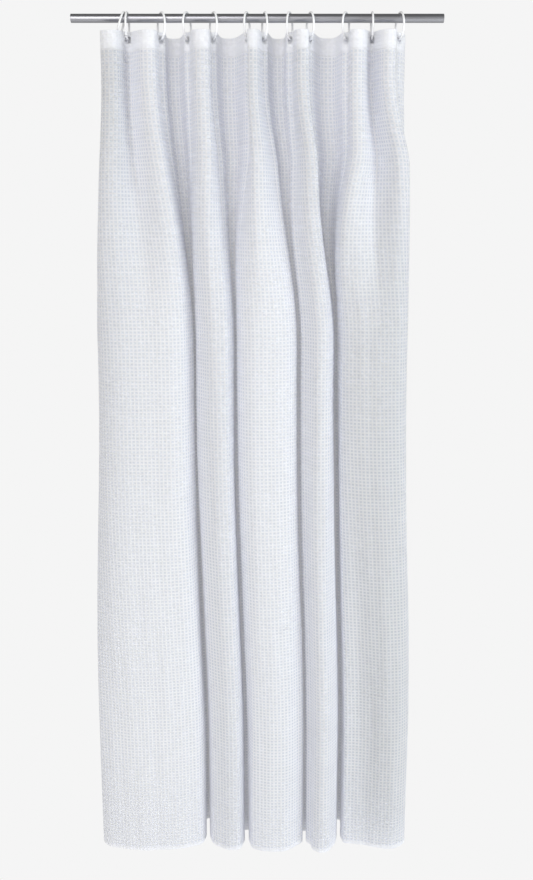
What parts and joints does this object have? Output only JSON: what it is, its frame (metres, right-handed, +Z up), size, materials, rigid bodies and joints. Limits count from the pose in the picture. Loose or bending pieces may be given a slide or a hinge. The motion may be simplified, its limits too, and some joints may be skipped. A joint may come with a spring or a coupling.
{
  "type": "shower curtain",
  "caption": "Hemmed waffle-weave cloth curtain hung in folds by open plastic rings from a straight round steel rod; it swings, and its rings gather along the rod.",
  "frame": {"origin": "on the rod's axis, at the middle of its length", "axes": "+X along the rod, +Z up, -Y towards the side the curtain is seen from"},
  "size_m": [0.823, 0.1795, 2.0432],
  "materials": {
    "cloth": "matt waffle weave",
    "thread": "sewing thread",
    "ring": "smooth moulded",
    "rod": "satin dark steel"
  },
  "bodies": {
    "rod": {"rod_tube": "rod"},
    "curtain": {"curtain_panel": "cloth", "stitch_top": "thread", "stitch_bottom": "thread", "stitch_left": "thread", "stitch_right": "thread", "ring_12": "ring", "buttonhole_12": "thread"},
    "slider_01": {"ring_01": "ring", "buttonhole_01": "thread"},
    "slider_02": {"ring_02": "ring", "buttonhole_02": "thread"},
    "slider_03": {"ring_03": "ring", "buttonhole_03": "thread"},
    "slider_04": {"ring_04": "ring", "buttonhole_04": "thread"},
    "slider_05": {"ring_05": "ring", "buttonhole_05": "thread"},
    "slider_06": {"ring_06": "ring", "buttonhole_06": "thread"},
    "slider_07": {"ring_07": "ring", "buttonhole_07": "thread"},
    "slider_08": {"ring_08": "ring", "buttonhole_08": "thread"},
    "slider_09": {"ring_09": "ring", "buttonhole_09": "thread"},
    "slider_10": {"ring_10": "ring", "buttonhole_10": "thread"},
    "slider_11": {"ring_11": "ring", "buttonhole_11": "thread"}
  },
  "joints": [
    {"name": "swing", "type": "hinge", "parent": "rod", "child": "curtain", "pos_m": [0, 0, 0], "axis": [1, 0, 0], "range_deg": [-20, 20]},
    {"name": "draw", "type": "slide", "parent": "curtain", "child": "slider_01", "axis": [1, 0, 0], "range_m": [0, 0.35], "deforming": ["curtain_panel", "stitch_top", "stitch_bottom", "stitch_left", "stitch_right"]},
    {"name": "ring_02_slide", "type": "slide", "parent": "curtain", "child": "slider_02", "axis": [1, 0, 0], "range_m": [0, 0.3501]},
    {"name": "ring_03_slide", "type": "slide", "parent": "curtain", "child": "slider_03", "axis": [1, 0, 0], "range_m": [0, 0.30666]},
    {"name": "ring_04_slide", "type": "slide", "parent": "curtain", "child": "slider_04", "axis": [1, 0, 0], "range_m": [0, 0.27366]},
    {"name": "ring_05_slide", "type": "slide", "parent": "curtain", "child": "slider_05", "axis": [1, 0, 0], "range_m": [0, 0.23971]},
    {"name": "ring_06_slide", "type": "slide", "parent": "curtain", "child": "slider_06", "axis": [1, 0, 0], "range_m": [0, 0.19662]},
    {"name": "ring_07_slide", "type": "slide", "parent": "curtain", "child": "slider_07", "axis": [1, 0, 0], "range_m": [0, 0.17387]},
    {"name": "ring_08_slide", "type": "slide", "parent": "curtain", "child": "slider_08", "axis": [1, 0, 0], "range_m": [0, 0.1416]},
    {"name": "ring_09_slide", "type": "slide", "parent": "curtain", "child": "slider_09", "axis": [1, 0, 0], "range_m": [0, 0.11528]},
    {"name": "ring_10_slide", "type": "slide", "parent": "curtain", "child": "slider_10", "axis": [1, 0, 0], "range_m": [0, 0.0694]},
    {"name": "ring_11_slide", "type": "slide", "parent": "curtain", "child": "slider_11", "axis": [1, 0, 0], "range_m": [0, 0.03556]}
  ],
  "couplings": [
    {"joint": "ring_02_slide", "follows": "draw", "ratio": 1},
    {"joint": "ring_03_slide", "follows": "draw", "ratio": 0.8759},
    {"joint": "ring_04_slide", "follows": "draw", "ratio": 0.7816},
    {"joint": "ring_05_slide", "follows": "draw", "ratio": 0.6846},
    {"joint": "ring_06_slide", "follows": "draw", "ratio": 0.5615},
    {"joint": "ring_07_slide", "follows": "draw", "ratio": 0.4965},
    {"joint": "ring_08_slide", "follows": "draw", "ratio": 0.4043},
    {"joint": "ring_09_slide", "follows": "draw", "ratio": 0.3291},
    {"joint": "ring_10_slide", "follows": "draw", "ratio": 0.198},
    {"joint": "ring_11_slide", "follows": "draw", "ratio": 0.1013}
  ]
}
